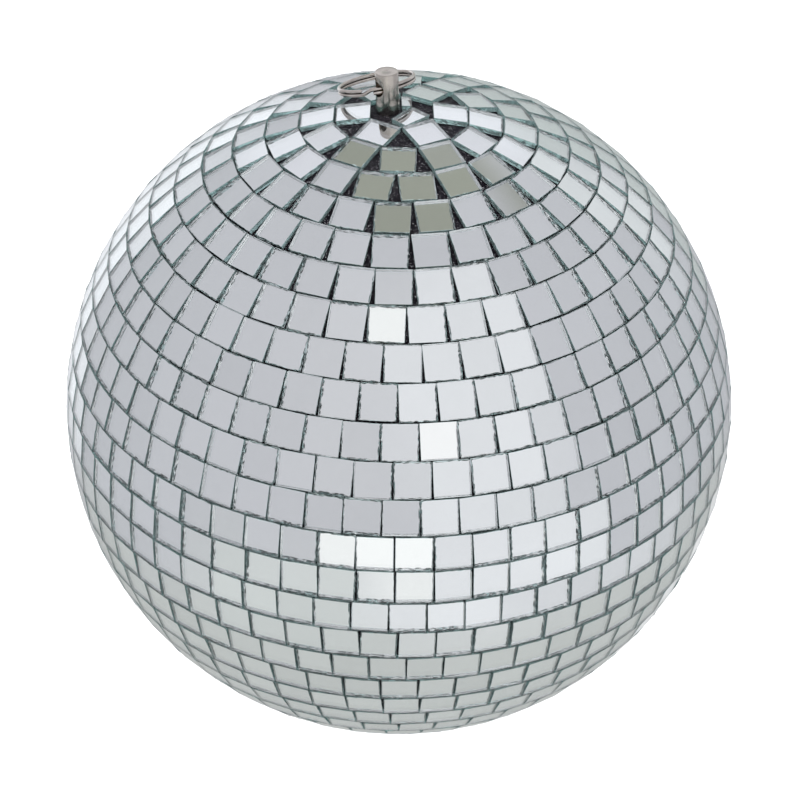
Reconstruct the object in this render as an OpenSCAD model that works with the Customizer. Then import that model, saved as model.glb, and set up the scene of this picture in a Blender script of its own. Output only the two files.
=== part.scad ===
// Mirror ball: a hollow black core covered with rows of square mirror tiles,
// hung from a cross-drilled steel pin with a split ring through it.
// The origin is the centre of the pin's cross hole, with +Z up along the pin.

/* [Ball] */
// Diameter over the mirror tiles
ball_d = 200; // [180:5:240]
// Wall of the two core halves
core_wall = 3; // [2:0.5:5]
// Thickness of the black adhesive coat on the core
coat = 0.3; // [0.2:0.1:0.5]
// Height of the lip that centres the upper half on the lower one
lip_h = 6; // [4:1:10]

/* [Mirror tiles] */
// Angle between neighbouring rows, seen from the ball's centre
row_pitch = 5.8; // [5.7:0.1:5.8]
// Half-angle of the opening in the tiling at the crown
crown_angle = 4.85; // [4.85:0.05:5.2]
// Gap between the backs of neighbouring rows
row_joint = 0.48; // [0.4:0.02:0.7]
// Gap between tiles of a row near the poles
tight_joint = 0.08; // [0.08:0.02:0.2]
// Gap between tiles of a row at the equator
loose_joint = 0.44; // [0.3:0.02:0.6]
// Thickness of the silvered glass
glass = 1.5; // [1.2:0.1:2]
// Lean of the rows' common axis away from the pin
row_tilt = 2.4; // [0:0.1:2.6]
// Compass direction of that lean, from +X
row_tilt_turn = -25; // [-40:5:0]
// Most that a tile rocks out of line with the core
tile_rock = 0.8; // [0:0.1:1]
// Seed of the small errors of laying by hand
lay_seed = 7; // [1:1:99]

/* [Hanging pin] */
// Diameter of the pin
pin_d = 6.5; // [6:0.1:7]
// How far the pin stands out of the tiles
pin_out = 10.5; // [10:0.5:14]
// Depth of the cross hole's centre below the pin's top
hole_drop = 4.6; // [4.2:0.1:5]
// Diameter of the cross hole
hole_d = 4.5; // [4.4:0.1:4.6]
// Compass direction of the cross hole, from +X
hole_turn = 28; // [0:1:60]
// Diameter of the threaded lower end
thread_d = 5.9; // [5:0.1:5.9]

/* [Split ring] */
// Diameter of the ring along the middle of its wire
ring_d = 21.2; // [20:0.2:22]
// Diameter of the wire
wire_d = 1.06; // [1:0.02:1.1]
// How far the ring lies turned off the cross hole's direction
ring_skew = 10; // [0:1:10]
// Angle by which the ring hangs below level
ring_droop = 16.4; // [15:0.1:16.4]
// Rise of the ring's wire through the cross hole
ring_rise = 4; // [0:1:4]
// How far the wire lies below the middle of the cross hole
ring_sit = 0.6; // [0.4:0.05:0.6]

/* [Hidden] */
$fn = 96;

core_colour = "#17151a";
coat_colour = "#211d24";
steel_colour = "#b3aca4";
ring_colour = "#c2b9ad";
plate_colour = "#9fa4a6";
mirror_colour = "#c6cbd1";

face_r = ball_d / 2;
back_r = face_r - glass;
seat_gap = 0.02;
coat_r = back_r - seat_gap;
core_r = coat_r - coat;
inner_r = core_r - core_wall;
tile = 2 * back_r * tan(row_pitch / 2) - row_joint;

pin_top = face_r + pin_out;
hole_h = pin_top - hole_drop;
running_gap = 0.05;

// Parts inside the crown, as heights above the ball's centre
plate_top = inner_r - 7;
plate_t = 2;
washer_t = 1.4;
nut_t = 5;
plate_bottom = plate_top - plate_t;
washer_bottom = plate_bottom - washer_t;
nut_bottom = washer_bottom - nut_t;
pin_bottom = nut_bottom - 2.5;
thread_pitch = 1;
thread_depth = 0.3;
thread_turns = floor((plate_bottom - pin_bottom) / thread_pitch) - 1;

// Start of each row's first tile, turned from the front, as it was laid from the crown down
row_start = [-1.5, 11.5, 16, 3, 1.5, 2, 0, 3, 5.5, 2, 4, 2, 4, 4, 3, 4.5, 0, 2, 2.5, 4, -1, 4,
    1, 5, 2, 8, 3, 10, 0];
front = -90;

function row_angle(row) = crown_angle + (row - 0.5) * row_pitch;
// Radius, from the rows' axis, of the edge where the tiles of a row crowd together
function crowded_r(angle) = back_r * sin(angle) - tile / 2 * abs(cos(angle));
function joint(angle) = tight_joint + (loose_joint - tight_joint) * pow(sin(angle), 12);
function row_count(angle) = floor(180 / atan((tile + joint(angle)) / 2 / crowded_r(angle)));
function slack(angle) = 2 * crowded_r(angle) * tan(180 / row_count(angle)) - tile;

module from_centre() {
    translate([0, 0, -hole_h]) children();
}

// Turns the rows' axis off the pin's
module on_row_axis() {
    from_centre() rotate([0, 0, row_tilt_turn]) rotate([0, row_tilt, 0])
        rotate([0, 0, -row_tilt_turn]) children();
}

// A flat piece of mirror glass, bedded on the coat
module mirror_piece(length, width) {
    translate([-length / 2, -width / 2, 0]) cube([length, width, glass]);
}

module bed(angle, turn) {
    rotate([0, 0, turn]) rotate([0, angle, 0]) translate([0, 0, back_r]) children();
}

module tile_row(row) {
    angle = row_angle(row);
    count = row_count(angle);
    play = slack(angle);
    spin = asin(play / 2 / tile);
    errors = rands(-1, 1, 5 * count, lay_seed + row);
    color(mirror_colour) on_row_axis()
        for (i = [0 : count - 1])
            bed(angle, front + row_start[row - 1] + (i + 0.5) * 360 / count)
                translate([0.1 * errors[5 * i], 0.15 * play * errors[5 * i + 1], 0])
                    rotate([tile_rock * errors[5 * i + 2], tile_rock * errors[5 * i + 3],
                        spin * errors[5 * i + 4]])
                        mirror_piece(tile, tile);
}

// Two pieces cut by hand to close the gap beside the pin
module crown_filler_tiles() {
    color(mirror_colour) on_row_axis() {
        bed(2.6, -64) rotate([0, 0, 64]) linear_extrude(height = glass)
            polygon([[0.9, 5.1], [5.6, 0.8], [-1.1, -5.1], [-4.9, -1.6]]);
        bed(2.8, 73) rotate([0, 0, -73]) mirror_piece(2.6, 6.2);
    }
}

// A whole tile at the lower pole with four cut strips round it
module bottom_tiles() {
    strip = 3.8;
    strip_angle = atan((tile / 2 + row_joint + strip / 2) / back_r);
    color(mirror_colour) on_row_axis() rotate([180, 0, 0]) {
        bed(0, 0) mirror_piece(tile, tile);
        for (turn = [0 : 90 : 270])
            bed(strip_angle, turn) mirror_piece(strip, tile);
    }
}

module half_shell() {
    intersection() {
        difference() {
            sphere(r = core_r);
            sphere(r = inner_r);
        }
        translate([-face_r, -face_r, 0]) cube([ball_d, ball_d, face_r]);
    }
}

module upper_shell() {
    boss_r = 13;
    color(core_colour) from_centre() difference() {
        union() {
            half_shell();
            intersection() {
                sphere(r = core_r - core_wall / 2);
                translate([0, 0, plate_top]) cylinder(r = boss_r, h = core_r);
            }
        }
        cylinder(d = pin_d + 2 * running_gap, h = ball_d);
    }
}

module lower_shell() {
    lip_r = inner_r - 0.3;
    lip_t = 2;
    color(core_colour) from_centre() {
        mirror([0, 0, 1]) half_shell();
        difference() {
            union() {
                translate([0, 0, -lip_h]) cylinder(r = lip_r, h = 2 * lip_h);
                translate([0, 0, -lip_h]) cylinder(r = inner_r + 0.5, h = lip_h);
            }
            translate([0, 0, -2 * lip_h]) cylinder(r = lip_r - lip_t, h = 4 * lip_h);
        }
    }
}

module adhesive_coat() {
    color(coat_colour) from_centre() difference() {
        sphere(r = coat_r);
        sphere(r = core_r);
        cylinder(d = pin_d + 2 * running_gap, h = ball_d);
    }
}

// Half section of the pin: threaded end, shoulder on the load plate, bevelled top
module pin_section() {
    root_r = thread_d / 2 - thread_depth;
    bevel = 0.35;
    thread = [for (i = [0 : thread_turns - 1]) each [
        [thread_d / 2, pin_bottom + (i + 0.5) * thread_pitch],
        [root_r, pin_bottom + (i + 1) * thread_pitch]]];
    polygon(concat(
        [[0, pin_bottom], [root_r, pin_bottom]],
        thread,
        [[thread_d / 2, pin_bottom + (thread_turns + 0.5) * thread_pitch],
            [thread_d / 2, plate_top],
            [pin_d / 2, plate_top],
            [pin_d / 2, pin_top - bevel],
            [pin_d / 2 - bevel, pin_top],
            [0, pin_top]]));
}

module hanging_pin() {
    color(steel_colour) difference() {
        from_centre() rotate_extrude() pin_section();
        rotate([0, 0, hole_turn]) rotate([0, 90, 0])
            cylinder(d = hole_d, h = 2 * pin_d, center = true);
    }
}

module washer(outer_d, bottom, thickness) {
    from_centre() translate([0, 0, bottom]) difference() {
        cylinder(d = outer_d, h = thickness);
        translate([0, 0, -thickness]) cylinder(d = thread_d + 2 * running_gap, h = 3 * thickness);
    }
}

module load_plate() {
    color(plate_colour) washer(22, plate_bottom, plate_t);
}

module lock_washer() {
    color(plate_colour) washer(10.4, washer_bottom, washer_t);
}

module pin_nut() {
    across_flats = 10;
    color(plate_colour) from_centre() translate([0, 0, nut_bottom]) difference() {
        cylinder(d = across_flats / cos(30), h = nut_t, $fn = 6);
        translate([0, 0, -nut_t]) cylinder(d = thread_d + 2 * running_gap, h = 3 * nut_t);
    }
}

// Two turns of wire lying on each other
module wire_section() {
    overlap = 0.04;
    for (side = [-1, 1])
        translate([ring_d / 2, side * (wire_d - overlap) / 2]) circle(d = wire_d);
    translate([ring_d / 2, 0]) square([wire_d / 2, wire_d / 2], center = true);
}

module split_ring() {
    // The curve of the wire is shared between both sides of the cross hole
    bow = pow(pin_d / 2, 2) / ring_d;
    color(ring_colour) translate([0, 0, -ring_sit]) rotate([0, 0, hole_turn - ring_skew])
        rotate([0, -ring_rise, 0]) rotate([-ring_droop, 0, 0])
            translate([0, ring_d / 2 - bow / 2, 0]) rotate_extrude() wire_section();
}

upper_shell();
lower_shell();
adhesive_coat();
hanging_pin();
load_plate();
lock_washer();
pin_nut();
split_ring();
crown_filler_tiles();
bottom_tiles();
tile_row(1);  // tile_row_01
tile_row(2);  // tile_row_02
tile_row(3);  // tile_row_03
tile_row(4);  // tile_row_04
tile_row(5);  // tile_row_05
tile_row(6);  // tile_row_06
tile_row(7);  // tile_row_07
tile_row(8);  // tile_row_08
tile_row(9);  // tile_row_09
tile_row(10);  // tile_row_10
tile_row(11);  // tile_row_11
tile_row(12);  // tile_row_12
tile_row(13);  // tile_row_13
tile_row(14);  // tile_row_14
tile_row(15);  // tile_row_15
tile_row(16);  // tile_row_16
tile_row(17);  // tile_row_17
tile_row(18);  // tile_row_18
tile_row(19);  // tile_row_19
tile_row(20);  // tile_row_20
tile_row(21);  // tile_row_21
tile_row(22);  // tile_row_22
tile_row(23);  // tile_row_23
tile_row(24);  // tile_row_24
tile_row(25);  // tile_row_25
tile_row(26);  // tile_row_26
tile_row(27);  // tile_row_27
tile_row(28);  // tile_row_28
tile_row(29);  // tile_row_29
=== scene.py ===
"""Looks of the mirror ball: glass tiles, black coat, turned pin and split ring, in a pale studio."""
import math

import bpy
import numpy as np
from mathutils import Matrix, Vector


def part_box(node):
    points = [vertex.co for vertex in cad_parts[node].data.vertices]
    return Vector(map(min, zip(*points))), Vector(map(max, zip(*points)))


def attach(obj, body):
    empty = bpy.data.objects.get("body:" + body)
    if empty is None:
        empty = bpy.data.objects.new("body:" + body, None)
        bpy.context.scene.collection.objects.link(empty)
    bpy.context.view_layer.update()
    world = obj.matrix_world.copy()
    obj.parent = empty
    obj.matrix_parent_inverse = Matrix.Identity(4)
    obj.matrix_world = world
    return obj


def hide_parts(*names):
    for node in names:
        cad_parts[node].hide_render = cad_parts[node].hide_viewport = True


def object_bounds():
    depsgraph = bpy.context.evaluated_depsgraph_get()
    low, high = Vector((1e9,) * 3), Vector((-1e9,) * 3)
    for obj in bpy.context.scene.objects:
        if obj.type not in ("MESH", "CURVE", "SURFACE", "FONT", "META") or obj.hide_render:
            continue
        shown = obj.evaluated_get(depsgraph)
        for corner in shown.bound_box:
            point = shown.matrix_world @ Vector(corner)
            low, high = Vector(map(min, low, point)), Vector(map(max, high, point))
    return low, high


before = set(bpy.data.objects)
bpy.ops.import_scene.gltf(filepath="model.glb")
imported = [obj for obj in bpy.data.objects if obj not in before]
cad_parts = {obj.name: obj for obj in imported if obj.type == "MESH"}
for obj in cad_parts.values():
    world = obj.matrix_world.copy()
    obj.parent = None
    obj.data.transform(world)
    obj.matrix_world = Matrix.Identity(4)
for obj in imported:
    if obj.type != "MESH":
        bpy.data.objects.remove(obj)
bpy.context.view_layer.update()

MM = 0.001

# Places taken from the frame
coat_low, coat_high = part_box("adhesive_coat")
COAT_R = (coat_high.x - coat_low.x) / 2
CENTRE = Vector(((coat_low.x + coat_high.x) / 2, (coat_low.y + coat_high.y) / 2, coat_low.z + COAT_R))
TILE_NODES = sorted(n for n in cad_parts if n.startswith("tile_row")) + [
    "crown_filler_tiles", "bottom_tiles"]


# ---------------------------------------------------------------- materials

def new_material(name):
    """A material with nodes, its tree and its main shader."""
    material = bpy.data.materials.new(name)
    material.use_nodes = True
    return material, material.node_tree, material.node_tree.nodes["Principled BSDF"]


def noise(tree, scale, detail=3, roughness=0.5, stretch=(1, 1, 1)):
    """A noise texture in object space, in cycles per metre, stretched along an axis."""
    coords = tree.nodes.new("ShaderNodeTexCoord")
    mapping = tree.nodes.new("ShaderNodeMapping")
    mapping.inputs["Scale"].default_value = stretch
    texture = tree.nodes.new("ShaderNodeTexNoise")
    texture.inputs["Scale"].default_value = scale
    texture.inputs["Detail"].default_value = detail
    texture.inputs["Roughness"].default_value = roughness
    tree.links.new(coords.outputs["Object"], mapping.inputs["Vector"])
    tree.links.new(mapping.outputs["Vector"], texture.inputs["Vector"])
    return texture.outputs["Fac"]


def ramp(tree, source, stops):
    """A colour ramp from (position, grey or colour) stops."""
    node = tree.nodes.new("ShaderNodeValToRGB")
    elements = node.color_ramp.elements
    while len(elements) < len(stops):
        elements.new(0.5)
    for element, (position, value) in zip(elements, stops):
        colour = value if isinstance(value, tuple) else (value, value, value)
        element.position = position
        element.color = (*colour, 1)
    tree.links.new(source, node.inputs["Fac"])
    return node.outputs["Color"]


def bump(tree, source, distance):
    """Relief as high as the distance, in metres."""
    node = tree.nodes.new("ShaderNodeBump")
    node.inputs["Distance"].default_value = distance
    node.inputs["Strength"].default_value = 1
    tree.links.new(source, node.inputs["Height"])
    return node.outputs["Normal"]


def attribute(tree, name):
    """The number that a mesh holds under this name."""
    node = tree.nodes.new("ShaderNodeAttribute")
    node.attribute_name = name
    return node.outputs["Fac"]


def math_node(tree, operation, a, b=0):
    """A maths node whose inputs are numbers or sockets."""
    node = tree.nodes.new("ShaderNodeMath")
    node.operation = operation
    for value, socket in zip((a, b), node.inputs):
        if isinstance(value, (int, float)):
            socket.default_value = value
        else:
            tree.links.new(value, socket)
    return node.outputs["Value"]


def blend(tree, share, below, above):
    """A colour laid over another as far as the share says."""
    mix = tree.nodes.new("ShaderNodeMix")
    mix.data_type = "RGBA"
    inputs = {socket.identifier: socket for socket in mix.inputs}
    tree.links.new(share, inputs["Factor_Float"])
    tree.links.new(below, inputs["A_Color"])
    inputs["B_Color"].default_value = (*above, 1)
    return next(o for o in mix.outputs if o.identifier == "Result_Color")


def glass_material():
    """Pale green float glass: polished face, matt broken sides where the "cut" attribute is 1."""
    material, tree, shader = new_material("tile_glass")
    shader.inputs["IOR"].default_value = 1.52
    cut = attribute(tree, "cut")
    tint = ramp(tree, cut, [(0.0, (1, 1, 1)), (1.0, (0.72, 0.90, 0.89))])
    tree.links.new(tint, shader.inputs["Base Color"])
    clear = math_node(tree, "SUBTRACT", 1, math_node(tree, "MULTIPLY", cut, 0.13))
    tree.links.new(clear, shader.inputs["Transmission Weight"])
    tree.links.new(math_node(tree, "MULTIPLY", cut, 0.09), shader.inputs["Roughness"])
    waves = math_node(tree, "MULTIPLY", noise(tree, 110, 2), 0.02)
    broken = math_node(tree, "MULTIPLY", noise(tree, 900, 4, 0.6), cut)
    relief = math_node(tree, "ADD", waves, broken)
    tree.links.new(bump(tree, relief, 0.12 * MM), shader.inputs["Normal"])
    absorb = tree.nodes.new("ShaderNodeVolumeAbsorption")
    absorb.inputs["Color"].default_value = (0.05, 0.62, 0.55, 1)
    absorb.inputs["Density"].default_value = 36
    tree.links.new(absorb.outputs["Volume"], tree.nodes["Material Output"].inputs["Volume"])
    return material


def silver_material():
    """Silvering seen through the glass, a little duller on some tiles."""
    material, tree, shader = new_material("mirror_silvering")
    shader.inputs["Metallic"].default_value = 1
    shader.inputs["Roughness"].default_value = 0
    spots = math_node(tree, "MULTIPLY", noise(tree, 260, 4, 0.6), 0.35)
    tone = math_node(tree, "ADD", math_node(tree, "MULTIPLY", attribute(tree, "tone"), 0.65), spots)
    shade = ramp(tree, tone, [(0.15, (0.90, 0.865, 0.875)), (0.8, (0.99, 0.95, 0.96))])
    tree.links.new(shade, shader.inputs["Base Color"])
    return material


def coat_material():
    """Near-black adhesive with pale dust in it."""
    material, tree, shader = new_material("black_adhesive")
    body = ramp(tree, noise(tree, 1500, 5, 0.65), [
        (0.35, (0.002, 0.0015, 0.0025)), (0.7, (0.009, 0.007, 0.011))])
    dust = ramp(tree, noise(tree, 3200, 2, 0.5), [(0.645, 0.0), (0.68, 1.0)])
    tree.links.new(blend(tree, dust, body, (0.42, 0.42, 0.44)), shader.inputs["Base Color"])
    shader.inputs["Roughness"].default_value = 0.45
    shader.inputs["Specular IOR Level"].default_value = 0.1
    tree.links.new(bump(tree, noise(tree, 900, 6, 0.6), 0.4 * MM), shader.inputs["Normal"])
    return material


def metal_material(name, dark, pale, rough_low, rough_high, streak, streak_depth, painted_shade=None):
    """Plated steel with fine marks, drawn out along the axes where the streak is small, with painted shade
    laid in where a named attribute is high.
    """
    material, tree, shader = new_material(name)
    shader.inputs["Metallic"].default_value = 1
    stains = noise(tree, 300, 3)
    marks = noise(tree, 9000, 3, 0.6, streak)
    colour = ramp(tree, stains, [(0.3, dark), (0.65, pale)])
    # Painted shade: a dark brown laid over the colour as far as the attribute says, standing in for dark
    # reflections in the ring's groove.
    if painted_shade:
        colour = blend(tree, attribute(tree, painted_shade), colour, (0.05, 0.035, 0.028))
    tree.links.new(colour, shader.inputs["Base Color"])
    tree.links.new(ramp(tree, stains, [(0.3, rough_high), (0.7, rough_low)]), shader.inputs["Roughness"])
    tree.links.new(bump(tree, marks, streak_depth), shader.inputs["Normal"])
    return material


def splinter_material():
    """Broken glass, paler and darker from crumb to crumb."""
    material, tree, shader = new_material("glass_splinter")
    colour = ramp(tree, noise(tree, 2200, 2), [(0.35, (0.30, 0.34, 0.34)), (0.65, (0.78, 0.80, 0.82))])
    tree.links.new(colour, shader.inputs["Base Color"])
    shader.inputs["Roughness"].default_value = 0.2
    return material


def plastic_material():
    """Black moulded plastic with a fine grain."""
    material, tree, shader = new_material("core_plastic")
    colour = ramp(tree, noise(tree, 180, 3), [(0.3, (0.018, 0.016, 0.02)), (0.7, (0.035, 0.032, 0.038))])
    tree.links.new(colour, shader.inputs["Base Color"])
    shader.inputs["Roughness"].default_value = 0.5
    tree.links.new(bump(tree, noise(tree, 3000, 3), 0.05 * MM), shader.inputs["Normal"])
    return material


GLASS = glass_material()
SILVER = silver_material()
COAT = coat_material()
PIN_STEEL = metal_material(
    "satin_nickel_pin", dark=(0.50, 0.46, 0.415), pale=(0.59, 0.545, 0.495),
    rough_low=0.16, rough_high=0.19, streak=(0.02, 0.02, 1), streak_depth=0.004 * MM)
# The ring carries painted shade in the groove between its turns.
RING_STEEL = metal_material(
    "polished_nickel_ring", dark=(0.50, 0.45, 0.41), pale=(0.66, 0.61, 0.565),
    rough_low=0.07, rough_high=0.12, streak=(0.3, 0.3, 0.3), streak_depth=0.003 * MM, painted_shade="groove_shade")
PLATE_STEEL = metal_material(
    "zinc_plate", dark=(0.45, 0.46, 0.47), pale=(0.7, 0.7, 0.7),
    rough_low=0.3, rough_high=0.45, streak=(0.1, 0.1, 0.1), streak_depth=0.01 * MM)
PLASTIC = plastic_material()
SPLINTER = splinter_material()


def paint(obj, *materials):
    """Give the object these materials and no others."""
    obj.data.materials.clear()
    for material in materials:
        obj.data.materials.append(material)


def mesh_object(name, points, faces, *materials):
    """A new object in the scene from points and faces."""
    mesh = bpy.data.meshes.new(name)
    mesh.from_pydata([tuple(p) for p in points], [], faces)
    mesh.update()
    obj = bpy.data.objects.new(name, mesh)
    bpy.context.scene.collection.objects.link(obj)
    paint(obj, *materials)
    return obj


# ---------------------------------------------------------------- mirror tiles

def solids_of(node):
    """The corner points of each separate solid of a CAD node."""
    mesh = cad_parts[node].data
    points = np.array([v.co for v in mesh.vertices])
    unique, index = np.unique(np.round(points, 7), axis=0, return_inverse=True)
    index = index.reshape(-1)
    parent = list(range(len(unique)))

    def root(i):
        while parent[i] != i:
            parent[i] = parent[parent[i]]
            i = parent[i]
        return i

    for polygon in mesh.polygons:
        corners = [index[v] for v in polygon.vertices]
        for corner in corners[1:]:
            parent[root(corner)] = root(corners[0])
    groups = {}
    for i in range(len(unique)):
        groups.setdefault(root(i), []).append(i)
    return [unique[members] for members in groups.values()]


def slab_of(corners):
    """Face corners in order round the slab, the outward normal and the thickness."""
    outward = corners.mean(0) - np.array(CENTRE)
    outward /= np.linalg.norm(outward)
    order = np.argsort(corners @ outward)
    half = len(corners) // 2
    back, face = corners[order[:half]], corners[order[half:]]
    normal = np.cross(face[1] - face[0], face[2] - face[0])
    normal /= np.linalg.norm(normal)
    if normal @ outward < 0:
        normal = -normal
    middle = face.mean(0)
    across = face[0] - middle
    across /= np.linalg.norm(across)
    along = np.cross(normal, across)
    turn = np.arctan2((face - middle) @ along, (face - middle) @ across)
    face = face[np.argsort(turn)]
    thickness = (middle - back.mean(0)) @ normal
    return face, normal, thickness


ARRIS = 0.05 * MM
BACK_INSET = 0.03 * MM
RAGGED_MM = [0.03, 0.14, 0.34]
RAGGED_ODDS = [0.35, 0.35, 0.3]
CHIPPED_SHARE = 0.3
TIGHT_FLARE, LOOSE_FLARE = 0.10 * MM, 0.22 * MM
CUTS_PER_SIDE = 14


def tile_mesh(face, normal, thickness, flare_limit, random):
    """One tile as rings of points, from the polished face down its broken sides to the silvered back."""
    middle = face.mean(0)
    rim, inward, breaks, flares = [], [], [], []
    count = len(face)
    for i in range(count):
        a, b = face[i], face[(i + 1) % count]
        side = (b - a) / np.linalg.norm(b - a)
        into = np.cross(normal, side)
        ragged = random.choice(RAGGED_MM, p=RAGGED_ODDS) * MM
        flare = random.uniform(0.3, 1) * flare_limit
        for j in range(CUTS_PER_SIDE):
            share = (j + (0 if j == 0 else random.uniform(-0.35, 0.35))) / CUTS_PER_SIDE
            rim.append(a + (b - a) * share)
            inward.append(into if j else (middle - a) / np.linalg.norm(middle - a) * 1.3)
            breaks.append(ragged)
            flares.append(flare)
    rim, inward = np.array(rim), np.array(inward)
    breaks, flares = np.array(breaks), np.array(flares)
    steps = len(rim)

    def ring(inset, depth, ragged):
        wander = inset + ragged * random.random(steps)
        return rim + inward * wander[:, None] - normal * depth

    chipped = random.random(steps) < CHIPPED_SHARE
    top = ring(ARRIS - flares, 0.0, breaks * chipped)
    shoulder = ring(-flares, ARRIS, breaks * chipped * 0.6)
    upper = ring(-flares / 2, thickness * 0.3, breaks)
    middle_ring = ring(0.0, thickness * 0.6, breaks)
    foot = ring(0.0, thickness * 0.93, breaks * 0.5)
    back = ring(BACK_INSET, thickness, BACK_INSET)
    rings = [top, shoulder, upper, middle_ring, foot, back]
    points = np.concatenate(rings)
    faces = [list(range(steps))]
    for k in range(len(rings) - 1):
        for i in range(steps):
            j = (i + 1) % steps
            faces.append([k * steps + i, (k + 1) * steps + i, (k + 1) * steps + j, k * steps + j])
    last = (len(rings) - 1) * steps
    faces.append([last + i for i in reversed(range(steps))])
    cut = [0] + [1] * (len(faces) - 2) + [0]
    slots = [0] * (len(faces) - 1) + [1]
    return points, faces, slots, cut


def face_values(mesh, name, values):
    """A number on each face for a material to read."""
    layer = mesh.attributes.new(name, "FLOAT", "FACE")
    layer.data.foreach_set("value", values)


def tile_piece(node, seed):
    """All glass tiles of a CAD node as one piece, each tile a closed shape of its own."""
    random = np.random.default_rng(seed)
    points, faces, slots, cuts, tones = [], [], [], [], []
    base = 0
    for corners in solids_of(node):
        face, normal, thickness = slab_of(corners)
        near_pole = abs(face[:, 2].mean() - CENTRE.z) > 0.8 * COAT_R
        flare = TIGHT_FLARE if near_pole else LOOSE_FLARE
        one = tile_mesh(face, normal, thickness, flare, random)
        tile_points, tile_faces, tile_slots, tile_cut = one
        points.append(tile_points)
        faces += [[base + i for i in loop] for loop in tile_faces]
        slots += tile_slots
        cuts += tile_cut
        tones += [random.random()] * len(tile_faces)
        base += len(tile_points)
    piece = mesh_object("glass_" + node, np.concatenate(points), faces, GLASS, SILVER)
    piece.data.polygons.foreach_set("material_index", slots)
    face_values(piece.data, "cut", cuts)
    face_values(piece.data, "tone", tones)
    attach(piece, "ball")
    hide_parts(node)


# ---------------------------------------------------------------- round shapes

def lathe(profile, steps):
    """A closed solid of revolution round +Z from (radius, height) points that start and end on the axis."""
    turn = np.arange(steps) * 2 * np.pi / steps
    points = [(0, 0, profile[0][1])]
    for radius, height in profile[1:-1]:
        points += [(radius * math.cos(t), radius * math.sin(t), height) for t in turn]
    points.append((0, 0, profile[-1][1]))
    faces, rows = [], len(profile) - 2
    for i in range(steps):
        j = (i + 1) % steps
        faces.append([0, 1 + j, 1 + i])
        for k in range(rows - 1):
            low, high = 1 + k * steps, 1 + (k + 1) * steps
            faces.append([low + i, low + j, high + j, high + i])
        last = 1 + (rows - 1) * steps
        faces.append([last + i, last + j, len(points) - 1])
    return points, faces


def smooth(mesh, angle):
    """Smooth shading that keeps edges sharper than the angle."""
    mesh.shade_smooth()
    mesh.set_sharp_from_angle(angle=math.radians(angle))


# ---------------------------------------------------------------- pin

THREAD_PITCH, THREAD_DEPTH, THREAD_RUNOUT = 1 * MM, 0.3 * MM, 2 * MM
TOP_BEVEL, TOP_STEPS = 0.32 * MM, 6
CENTRE_MARK = [(0.55 * MM, 0), (0.4 * MM, 0.05 * MM), (0, 0.09 * MM)]
HOLE_ZONE = 3 * MM
PIN_STEPS, DRILL_STEPS = 160, 96
DRILL_REACH = 6 * MM
HOLE_EDGE = 0.14 * MM


def pin_profile(low, high, radius, shoulder):
    """Threaded end, shoulder, plain shank and rounded top edge with a faint centre mark."""
    crest = radius - THREAD_DEPTH
    root = crest - THREAD_DEPTH
    pitch = THREAD_PITCH
    profile = [(0, low), (root - THREAD_DEPTH, low), (root, low + THREAD_DEPTH)]
    height = low + pitch / 2
    while height + pitch < shoulder - THREAD_RUNOUT:
        profile += [(crest, height + 0.35 * pitch), (crest, height + 0.5 * pitch)]
        profile.append((root, height + 0.9 * pitch))
        height += pitch
    profile += [(crest, height + 0.5 * pitch), (crest, shoulder), (radius, shoulder)]
    for step in range(TOP_STEPS + 1):
        t = step / TOP_STEPS * math.pi / 2
        profile.append((radius - TOP_BEVEL * (1 - math.cos(t)), high - TOP_BEVEL * (1 - math.sin(t))))
    profile.append((radius * 0.6, high))
    return profile + [(mark_radius, high - depth) for mark_radius, depth in CENTRE_MARK]


def cross_hole():
    """Radius and direction of the pin's cross hole, from the CAD pin's points."""
    points = np.array([v.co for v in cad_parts["hanging_pin"].data.vertices])
    radius = (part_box("hanging_pin")[1].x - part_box("hanging_pin")[0].x) / 2
    near_hole = np.abs(points[:, 2]) < HOLE_ZONE
    wall = points[near_hole & (np.hypot(points[:, 0], points[:, 1]) < 1.02 * radius)]
    hole_radius = np.abs(wall[:, 2]).max()
    roof = wall[np.abs(wall[:, 2]) > hole_radius * 0.97]
    direction = np.linalg.svd(roof[:, :2], full_matrices=False)[2][0]
    return hole_radius, Vector((direction[0], direction[1], 0)).normalized()


def pin_piece():
    """The turned pin with its cross hole drilled and its edges broken."""
    low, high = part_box("hanging_pin")
    radius = (high.x - low.x) / 2
    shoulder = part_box("load_plate")[1].z
    pin_points, pin_faces = lathe(pin_profile(low.z, high.z, radius, shoulder), PIN_STEPS)
    pin = mesh_object("turned_pin", pin_points, pin_faces, PIN_STEEL)
    hole_radius, along_hole = cross_hole()
    drill_profile = [(0, -DRILL_REACH), (hole_radius, -DRILL_REACH),
                     (hole_radius, DRILL_REACH), (0, DRILL_REACH)]
    drill_points, drill_faces = lathe(drill_profile, DRILL_STEPS)
    spin = along_hole.to_track_quat("Z", "Y").to_matrix()
    drill = mesh_object("drill", [spin @ Vector(p) for p in drill_points], drill_faces, PIN_STEEL)
    cut = pin.modifiers.new("cross_hole", "BOOLEAN")
    cut.object = drill
    cut.solver = "EXACT"
    edge = pin.modifiers.new("broken_edge", "BEVEL")
    edge.width = HOLE_EDGE
    edge.segments = 3
    edge.limit_method = "ANGLE"
    edge.angle_limit = math.radians(50)
    depsgraph = bpy.context.evaluated_depsgraph_get()
    mesh = bpy.data.meshes.new_from_object(pin.evaluated_get(depsgraph))
    pin.modifiers.clear()
    pin.data = mesh
    bpy.data.objects.remove(drill)
    smooth(mesh, 35)
    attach(pin, "ball")
    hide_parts("hanging_pin")


# ---------------------------------------------------------------- split ring

CROSSING = math.radians(-31)
HALF_CROSSING = math.radians(9)
COIL_STEPS, WIRE_SIDES = 260, 24
END_ROUND = 0.12 * MM


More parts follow.
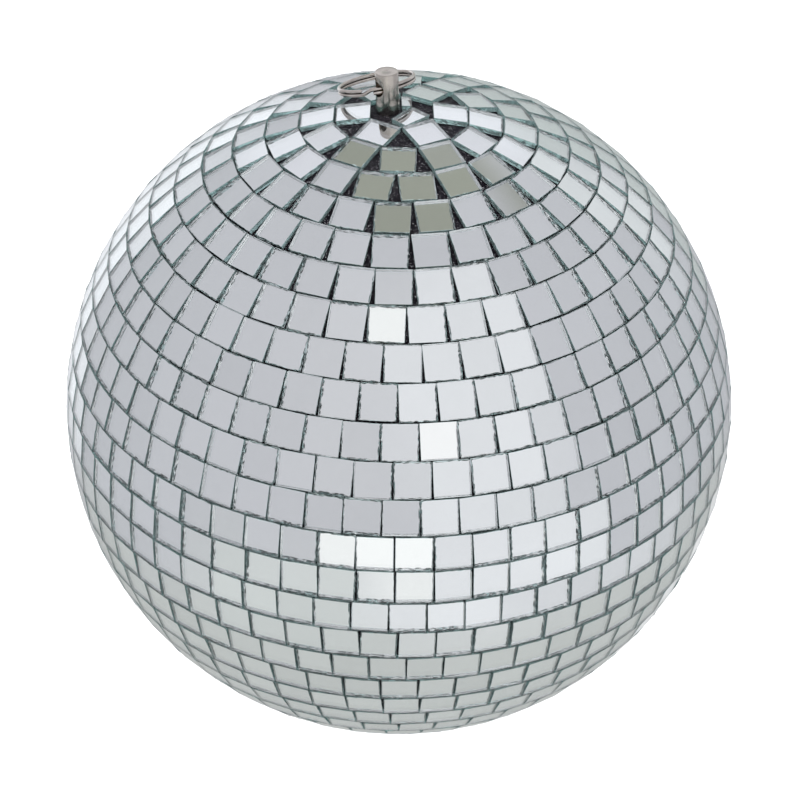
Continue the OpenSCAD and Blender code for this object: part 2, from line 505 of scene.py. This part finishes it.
def ring_lie():
    """Centre, axis and wire of the CAD ring: its radius, the wire's radius, and the way to the pin."""
    points = np.array([v.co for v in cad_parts["split_ring"].data.vertices])
    low, high = points.min(0), points.max(0)
    centre = (low + high) / 2
    for _ in range(4):
        basis = np.linalg.svd(points - centre, full_matrices=False)[2]
        local = (points - centre) @ basis.T
        centre = centre + ((local.min(0) + local.max(0)) / 2) @ basis
    axis = basis[2] if basis[2][2] > 0 else -basis[2]
    local = (points - centre) @ axis
    wire = (local.max() - local.min()) / 4
    outer = np.linalg.norm((points - centre) - np.outer(local, axis), axis=1).max()
    to_pin = -centre - axis * (-centre @ axis)
    to_pin /= np.linalg.norm(to_pin)
    return centre, axis, outer - wire, wire, to_pin


def ring_piece():
    """The split ring as one coiled wire: two turns, a crossing between them and two cut ends."""
    centre, axis, radius, wire, to_pin = ring_lie()
    side = np.cross(axis, to_pin)
    steps, sides = COIL_STEPS, WIRE_SIDES
    path = []
    total = 4 * math.pi - 2 * HALF_CROSSING
    for i in range(steps + 1):
        s = total * i / steps
        share = min(max((s - total / 2) / HALF_CROSSING, -1), 1)
        lift = wire * math.sin(share * math.pi / 2)
        angle = CROSSING + HALF_CROSSING + s
        outward = math.cos(angle) * to_pin + math.sin(angle) * side
        path.append(centre + radius * outward + lift * axis)
    path = np.array(path)
    tangents = np.gradient(path, axis=0)
    tangents /= np.linalg.norm(tangents, axis=1)[:, None]
    rings = [(0, wire * 0.8, 0.0), (0, wire, END_ROUND)]
    rings += [(i, wire, 0.0) for i in range(2, steps - 1)]
    rings += [(steps, wire, -END_ROUND), (steps, wire * 0.8, 0.0)]
    turn = np.arange(sides) * 2 * np.pi / sides
    verts, faces, groove_shade = [], [], []
    for index, r, shift in rings:
        tangent = tangents[index]
        out = np.cross(tangent, axis)
        out /= np.linalg.norm(out)
        up = np.cross(out, tangent)
        middle = path[index] + tangent * shift
        verts += [middle + r * (math.cos(t) * out + math.sin(t) * up) for t in turn]
        # Painted shade: the sides of the two turns that face each other, where they meet, are marked for
        # darkening.
        facing = -1 if index > steps / 2 else 1
        groove_shade += [min(max(facing * math.sin(t) * 2.2 - 1.1, 0), 1) for t in turn]
    for k in range(len(rings) - 1):
        for i in range(sides):
            j = (i + 1) % sides
            faces.append([k * sides + i, k * sides + j, (k + 1) * sides + j, (k + 1) * sides + i])
    faces.append(list(reversed(range(sides))))
    faces.append([(len(rings) - 1) * sides + i for i in range(sides)])
    ring = mesh_object("coiled_ring", verts, faces, RING_STEEL)
    ring.data.attributes.new("groove_shade", "FLOAT", "POINT").data.foreach_set("value", groove_shade)
    smooth(ring.data, 40)
    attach(ring, "ring")
    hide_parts("split_ring")


# ---------------------------------------------------------------- splinters

SPLINTERS = 24000
SPLINTER_SIDES = ((0, 1, 2), (0, 3, 1), (1, 3, 2), (2, 3, 0))
SPLINTER_LOW, SPLINTER_HIGH = 0.05 * MM, 0.14 * MM
TILE_REACH = 9 * MM
TILE_EDGE = 0.12 * MM


def crumbs_piece(count):
    """Splinters of cut glass caught in the adhesive, in the joints between the tiles."""
    random = np.random.default_rng(5)
    ups = random.normal(size=(count, 3))
    ups /= np.linalg.norm(ups, axis=1)[:, None]
    spots = np.array(CENTRE) + ups * COAT_R
    free = np.ones(count, bool)
    for node in TILE_NODES:
        for corners in solids_of(node):
            face, normal, _ = slab_of(corners)
            inside = np.linalg.norm(spots - face.mean(0), axis=1) < TILE_REACH
            for i in range(len(face)):
                side = face[(i + 1) % len(face)] - face[i]
                into = np.cross(normal, side / np.linalg.norm(side))
                inside &= (spots - face[i]) @ into > -TILE_EDGE
            free &= ~inside
    points, faces = [], []
    for spot, up in zip(spots[free], ups[free]):
        size = random.uniform(SPLINTER_LOW, SPLINTER_HIGH)
        base = len(points)
        points += [spot - up * size + random.normal(size=3) * size for _ in range(3)]
        points.append(spot + up * size * 0.9)
        faces += [[base + i for i in side] for side in SPLINTER_SIDES]
    crumbs = mesh_object("glass_splinters", points, faces, SPLINTER)
    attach(crumbs, "ball")


# ---------------------------------------------------------------- the pieces

for number, tile_node in enumerate(TILE_NODES):
    tile_piece(tile_node, 100 + number)
pin_piece()
ring_piece()
crumbs_piece(SPLINTERS)
paint(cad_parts["adhesive_coat"], COAT)
for plate in ("load_plate", "lock_washer", "pin_nut"):
    paint(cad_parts[plate], PLATE_STEEL)
for shell in ("upper_shell", "lower_shell"):
    paint(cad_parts[shell], PLASTIC)

# ---------------------------------------------------------------- camera, floor and light

VIEW_ELEVATION = math.radians(35.03)
VIEW_ROLL = math.radians(-2.15)
VIEW_DISTANCE = 0.6027
LENS = 88.74
SHIFT_X, SHIFT_Y = 0.00125, 0.0024
FLOOR_DROP, FLOOR_HALF = 0.25, 12


def add_camera():
    """A camera in front of the ball and above it, aimed at its centre."""
    away = Vector((0, -math.cos(VIEW_ELEVATION), math.sin(VIEW_ELEVATION)))
    level_up = Vector((0, math.sin(VIEW_ELEVATION), math.cos(VIEW_ELEVATION)))
    right = Vector((math.cos(VIEW_ROLL), 0, 0)) + level_up * math.sin(VIEW_ROLL)
    up = away.cross(right)
    camera = bpy.data.cameras.new("camera")
    camera.lens = LENS
    camera.shift_x = SHIFT_X
    camera.shift_y = SHIFT_Y
    camera.clip_end = 50
    obj = bpy.data.objects.new("camera", camera)
    bpy.context.scene.collection.objects.link(obj)
    place = CENTRE + away * VIEW_DISTANCE
    obj.matrix_world = Matrix((
        (right.x, up.x, away.x, place.x),
        (right.y, up.y, away.y, place.y),
        (right.z, up.z, away.z, place.z),
        (0, 0, 0, 1)))
    bpy.context.scene.camera = obj


def add_fill():
    """A soft box overhead that lights the ball but isn't mirrored in it."""
    light = bpy.data.lights.new("overhead_fill", "AREA")
    light.shape = "SQUARE"
    light.size = 4
    light.energy = 160
    obj = bpy.data.objects.new("overhead_fill", light)
    bpy.context.scene.collection.objects.link(obj)
    direction = Vector((0.1, -0.2, 1)).normalized()
    obj.location = CENTRE + direction * 2.5
    obj.rotation_euler = direction.to_track_quat("Z", "Y").to_euler()
    obj.visible_camera = False
    obj.visible_glossy = False
    obj.visible_transmission = False


def add_floor():
    """A pale floor well below the ball, which the glass doesn't mirror."""
    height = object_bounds()[0][2] - FLOOR_DROP
    signs = ((-1, -1), (1, -1), (1, 1), (-1, 1))
    corners = [(x * FLOOR_HALF, y * FLOOR_HALF, height) for x, y in signs]
    floor = mesh_object("floor", corners, [(0, 1, 2, 3)])
    material, _, shader = new_material("pale_floor")
    shader.inputs["Base Color"].default_value = (0.9, 0.9, 0.9, 1)
    shader.inputs["Roughness"].default_value = 0.9
    paint(floor, material)
    floor.visible_glossy = False
    floor.visible_transmission = False


def heading(azimuth, elevation):
    """Unit vectors ahead, right and up for a heading; azimuth 0 is +Y and 90 is +X."""
    a, e = math.radians(azimuth), math.radians(elevation)
    return ((math.sin(a) * math.cos(e), math.cos(a) * math.cos(e), math.sin(e)),
            (math.cos(a), -math.sin(a), 0),
            (-math.sin(a) * math.sin(e), -math.cos(a) * math.sin(e), math.cos(e)))


def screen(tree, ray, below, azimuth, elevation, half_width, half_height, soft, colour, taper=0):
    """A soft-edged studio screen in the world, its half sizes given as tangents, narrowing upwards."""
    def along(vector):
        node = tree.nodes.new("ShaderNodeVectorMath")
        node.operation = "DOT_PRODUCT"
        tree.links.new(ray, node.inputs[0])
        node.inputs[1].default_value = vector
        return node.outputs["Value"]

    def edge(offset, half):
        node = tree.nodes.new("ShaderNodeMapRange")
        node.interpolation_type = "SMOOTHSTEP"
        tree.links.new(offset, node.inputs["Value"])
        node.inputs["From Min"].default_value = half - soft
        node.inputs["From Max"].default_value = half + soft
        node.inputs["To Min"].default_value = 1
        node.inputs["To Max"].default_value = 0
        return node.outputs["Result"]

    ahead, right, up = (along(v) for v in heading(azimuth, elevation))
    depth = math_node(tree, "MAXIMUM", ahead, 0.001)
    x = math_node(tree, "ABSOLUTE", math_node(tree, "DIVIDE", right, depth))
    y = math_node(tree, "DIVIDE", up, depth)
    x = math_node(tree, "ADD", x, math_node(tree, "MULTIPLY", y, taper))
    y = math_node(tree, "ABSOLUTE", y)
    shape = math_node(tree, "MULTIPLY", edge(x, half_width), edge(y, half_height))
    return blend(tree, shape, below, colour)


WALL = (0.61, 0.613, 0.652)
# Azimuth and elevation in degrees, half width, half height, softness, colour and taper
SCREENS = [
    (0, -90, 1.15, 1.15, 0.35, (0.61, 0.625, 0.615)),
    (-176, 38, 0.62, 0.85, 0.35, (0.665, 0.669, 0.703)),
    (-140, -38, 0.50, 0.30, 0.20, (0.70, 0.725, 0.72)),
    (152, 30, 0.50, 0.95, 0.18, (0.84, 0.85, 0.88)),
    (150, -34, 0.66, 0.35, 0.16, (0.89, 0.90, 0.93)),
    (112, -42, 0.55, 0.10, 0.09, (0.74, 0.745, 0.775)),
    (15, 0, 0.28, 0.45, 0.06, (0.62, 0.66, 0.655)),
    (43, 14, 0.17, 0.34, 0.08, (0.80, 0.82, 0.84)),
    (0, 46, 0.42, 0.12, 0.04, (0.82, 0.82, 0.88)),
    (0, 31, 0.52, 0.13, 0.05, (0.95, 0.96, 1.02)),
    (-26, -10, 0.29, 0.42, 0.12, (1.07, 1.09, 1.14)),
    (18, -42, 0.13, 0.11, 0.06, (1.0, 1.0, 1.02)),
    (14, 70, 0.275, 0.32, 0.015, (0.365, 0.378, 0.328), 0.38),
    (37, 49, 0.25, 0.065, 0.015, (0.375, 0.385, 0.35)),
    (-174, 60, 0.16, 0.07, 0.02, (1.05, 1.06, 1.06)),
    (167, 21, 0.10, 0.08, 0.02, (1.05, 1.05, 1.06)),
    (-172, -14, 0.26, 0.09, 0.03, (1.05, 1.06, 1.06)),
    (-178, -30, 0.14, 0.12, 0.03, (0.98, 0.99, 0.99)),
]


def add_world():
    """A pale room all round, with the screens laid over it in order."""
    world = bpy.data.worlds.new("studio")
    world.use_nodes = True
    tree = world.node_tree
    ray = tree.nodes.new("ShaderNodeTexCoord").outputs["Generated"]
    wall = tree.nodes.new("ShaderNodeRGB")
    wall.outputs[0].default_value = (*WALL, 1)
    colour = wall.outputs[0]
    for entry in SCREENS:
        colour = screen(tree, ray, colour, *entry)
    tree.links.new(colour, tree.nodes["Background"].inputs["Color"])
    bpy.context.scene.world = world


add_camera()
add_floor()
add_world()
add_fill()
bpy.context.scene.view_settings.view_transform = "Standard"
